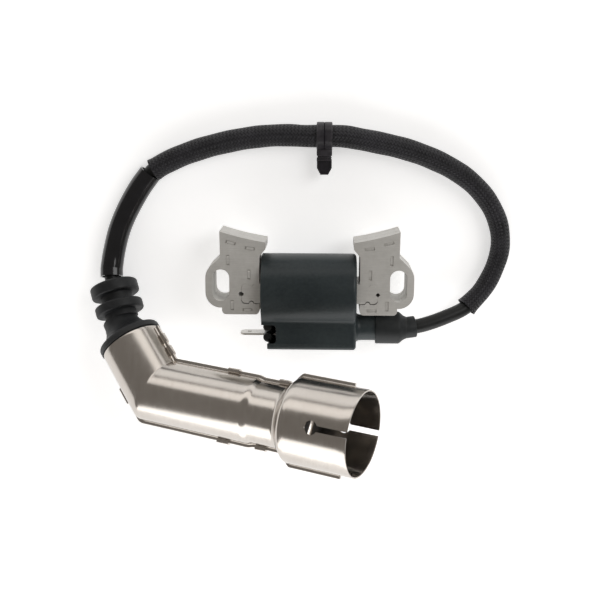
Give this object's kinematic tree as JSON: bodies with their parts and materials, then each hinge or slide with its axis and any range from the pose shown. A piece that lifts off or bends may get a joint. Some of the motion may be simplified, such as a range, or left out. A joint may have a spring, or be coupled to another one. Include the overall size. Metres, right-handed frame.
{
  "type": "ignition coil",
  "caption": "Small-engine ignition coil: laminated U core with slotted feet, potted coil, sleeved high-tension lead and shielded elbow plug cap that swivels.",
  "frame": {"origin": "midway between the centres of the two mounting slots, on the laminations' seat face", "axes": "+X from the stop terminal to the high-tension tower, +Y towards the flywheel, +Z out of the laminations' front face; the case and the lead lie on a surface at z = -6 mm"},
  "size_m": [0.1614, 0.1185, 0.0775],
  "materials": {
    "laminations": "satin ground silicon-steel sheets with staked interlocks",
    "bobbin_plastic": "moulded natural polyester",
    "enamelled_copper": "enamelled winding wire",
    "case_plastic": "satin slate-black moulded case",
    "potting_resin": "black cast resin",
    "board_laminate": "green coated glass-resin board",
    "component_black": "moulded component body",
    "component_tan": "dipped capacitor and resistor bodies",
    "tinned_steel": "tin-plated blade",
    "brass": "machined brass",
    "boot_rubber": "matte black rubber",
    "bare_copper": "stranded copper",
    "lead_rubber": "satin black lead jacket",
    "braided_sleeve": "varnished glass-fibre braid, black",
    "guard_pvc": "glossy black vinyl tube",
    "clip_nylon": "black moulded nylon",
    "grommet_rubber": "matte black moulded rubber",
    "nickel_shield": "satin nickel-plated pressed steel",
    "phenolic": "dark brown phenolic moulding",
    "ceramic": "ceramic resistor body",
    "spring_steel": "bright spring wire",
    "seal_rubber": "black seal rubber"
  },
  "bodies": {
    "coil": {"core_leg_left": "laminations", "core_leg_right": "laminations", "core_bar": "laminations", "primary_bobbin": "bobbin_plastic", "secondary_bobbin": "bobbin_plastic", "primary_winding": "enamelled_copper", "secondary_winding": "enamelled_copper", "coil_case": "case_plastic", "potting_fill": "potting_resin", "circuit_board": "board_laminate", "switch_transistor": "component_black", "board_components": "component_tan", "stop_terminal": "tinned_steel", "ht_output_pin": "brass", "ground_strap": "brass", "tower_boot": "boot_rubber", "lead_conductor": "bare_copper", "lead_jacket": "lead_rubber", "heat_sleeve": "braided_sleeve", "guard_tube": "guard_pvc", "cap_grommet": "grommet_rubber"},
    "plug_cap": {"shield_front": "nickel_shield", "shield_back": "nickel_shield", "cap_insulator": "phenolic", "cord_screw": "brass", "suppressor_resistor": "ceramic", "contact_spring": "spring_steel", "plug_terminal": "brass", "terminal_clip": "spring_steel", "plug_seal": "seal_rubber"},
    "clip": {"cable_clip": "clip_nylon"}
  },
  "joints": [
    {"name": "plug_cap_swivel", "type": "hinge", "parent": "coil", "child": "plug_cap", "pos_m": [-0.0562, -0.0391, 0.0224], "axis": [-0.5158, 0.7254, -0.4558], "range_deg": [-90, 55]},
    {"name": "clip_turn", "type": "hinge", "parent": "coil", "child": "clip", "pos_m": [0.0051, 0.0541, -0.0006], "axis": [1, 0, 0], "range_deg": [-170, 10]}
  ]
}
